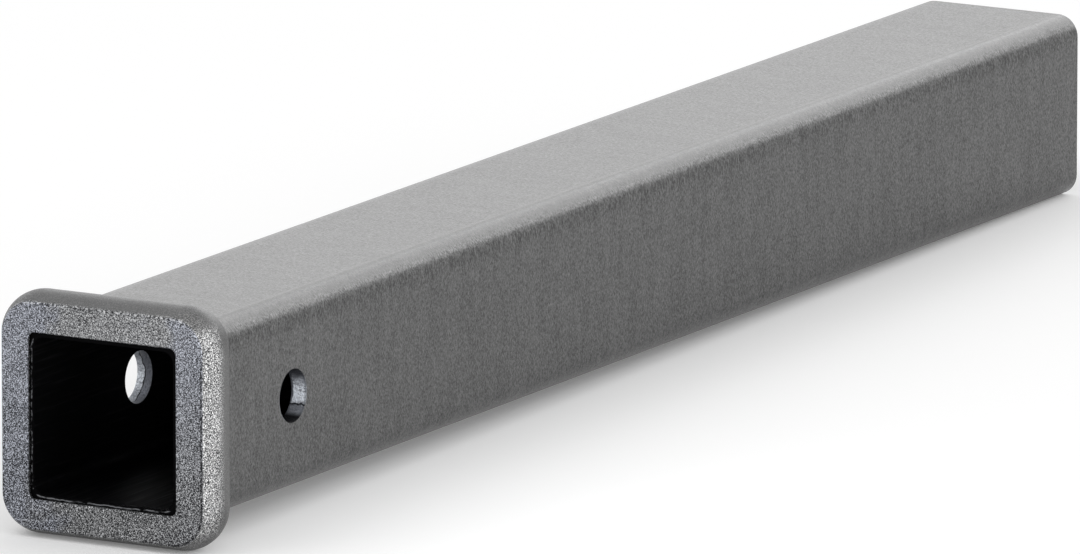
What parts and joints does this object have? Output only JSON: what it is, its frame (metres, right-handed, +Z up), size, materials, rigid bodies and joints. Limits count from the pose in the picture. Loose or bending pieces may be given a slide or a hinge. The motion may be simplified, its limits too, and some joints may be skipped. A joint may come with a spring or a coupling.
{
  "type": "receiver tube",
  "caption": "Square steel hitch receiver tube with a forged reinforcing collar welded over its mouth and a cross hole for the hitch pin.",
  "frame": {"origin": "centre of the hitch pin hole, on the tube's own axis", "axes": "+Y along the tube from its mouth to its cut rear end, +X along the hitch pin, +Z up"},
  "size_m": [0.08, 0.6096, 0.08],
  "materials": {
    "tube_steel": "bare mill finish, fine dull grain, no coating",
    "forged_steel": "bare shot-blasted forging with a coarse sparkling grain",
    "weld_metal": "as welded, with fine ripples"
  },
  "bodies": {
    "root": {"receiver_tube": "tube_steel", "collar": "forged_steel", "collar_weld": "weld_metal"}
  },
  "joints": []
}
